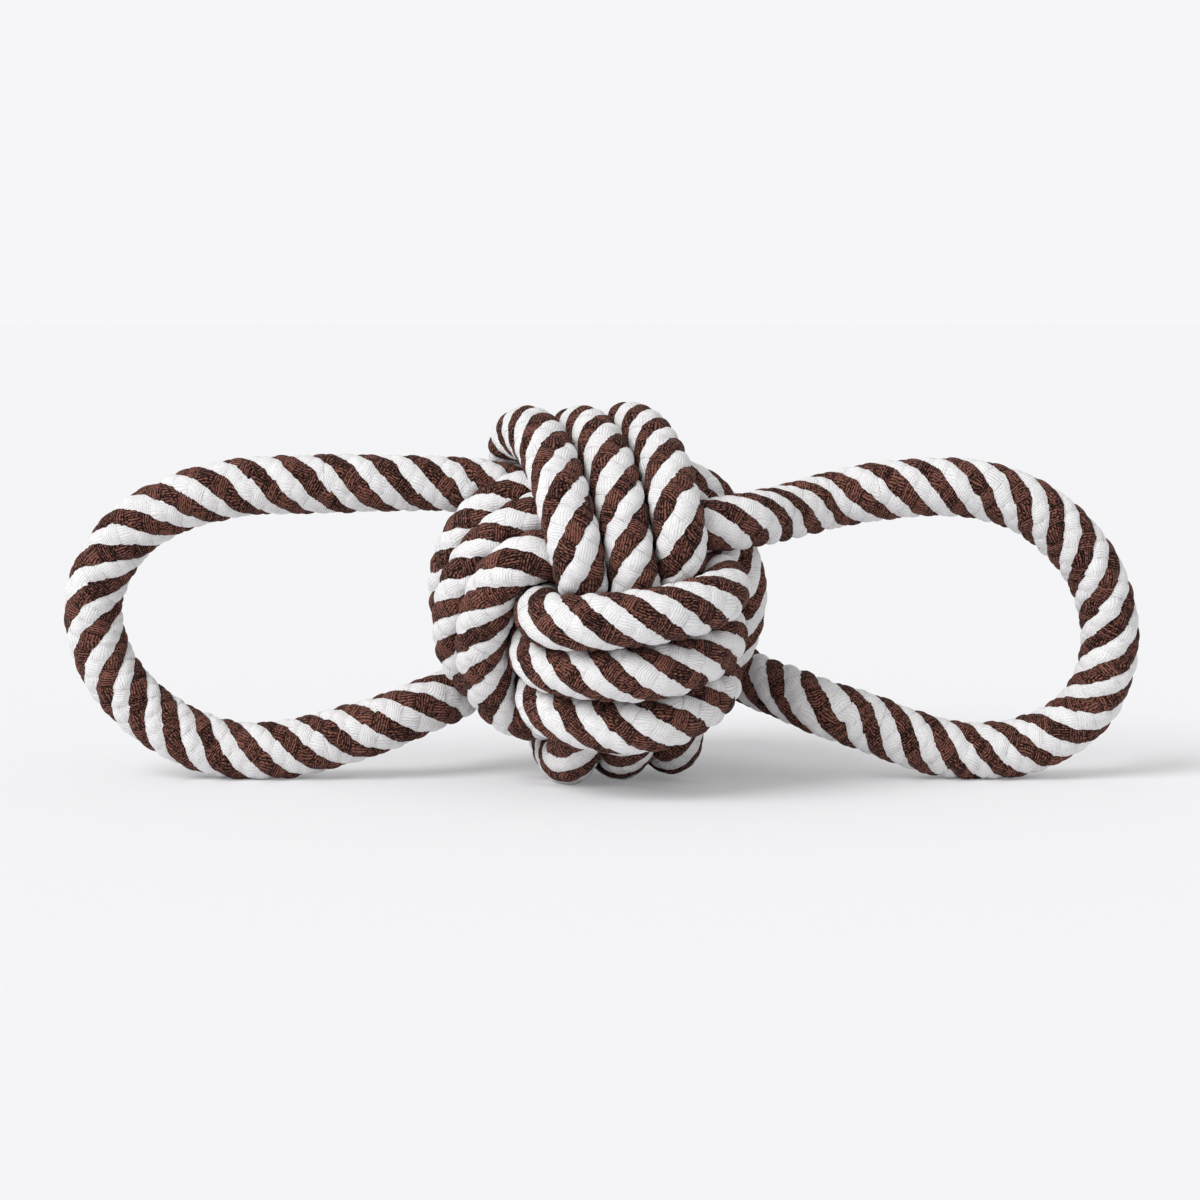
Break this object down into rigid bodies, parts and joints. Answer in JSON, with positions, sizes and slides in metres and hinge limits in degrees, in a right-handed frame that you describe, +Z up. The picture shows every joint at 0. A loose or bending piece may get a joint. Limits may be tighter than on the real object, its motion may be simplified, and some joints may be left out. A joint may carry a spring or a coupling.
{
  "type": "rope dog toy",
  "caption": "Rope dog toy: a monkey's fist ball knot with a loop handle on each side, tied from one striped braided cotton rope.",
  "frame": {"origin": "on the floor under the middle of the toy as it stands", "axes": "+X along both handles to the viewer's right, +Y away from the viewer, +Z up"},
  "size_m": [0.2686, 0.1086, 0.0945],
  "materials": {
    "rope": "matt braided cotton, brown and white spiral bands",
    "thread": "matt cotton thread"
  },
  "bodies": {
    "knot": {"core_coil": "rope", "core_coil_whipping": "thread", "first_winding": "rope", "second_winding": "rope", "third_winding": "rope", "right_lower_root": "rope", "right_upper_root": "rope", "left_upper_root": "rope", "tucked_tail": "rope", "tucked_tail_whipping": "thread"},
    "left_legs": {"left_upper_leg": "rope", "left_lower_leg": "rope"},
    "left_loop": {"left_bight": "rope"},
    "right_legs": {"right_upper_leg": "rope", "right_lower_leg": "rope"},
    "right_loop": {"right_bight": "rope"}
  },
  "joints": [
    {"name": "left_handle_swing", "type": "hinge", "parent": "knot", "child": "left_legs", "pos_m": [-0.056, 0.0015, 0.044], "axis": [0, 0, 1], "range_deg": [-65, 65]},
    {"name": "left_loop_fold", "type": "hinge", "parent": "left_legs", "child": "left_loop", "pos_m": [-0.082, 0.0015, 0.04], "axis": [0, 0, 1], "range_deg": [-50, 50]},
    {"name": "right_handle_swing", "type": "hinge", "parent": "knot", "child": "right_legs", "pos_m": [0.056, 0.0015, 0.044], "axis": [0, 0, 1], "range_deg": [-65, 65]},
    {"name": "right_loop_fold", "type": "hinge", "parent": "right_legs", "child": "right_loop", "pos_m": [0.082, 0.0015, 0.04], "axis": [0, 0, 1], "range_deg": [-50, 50]}
  ]
}
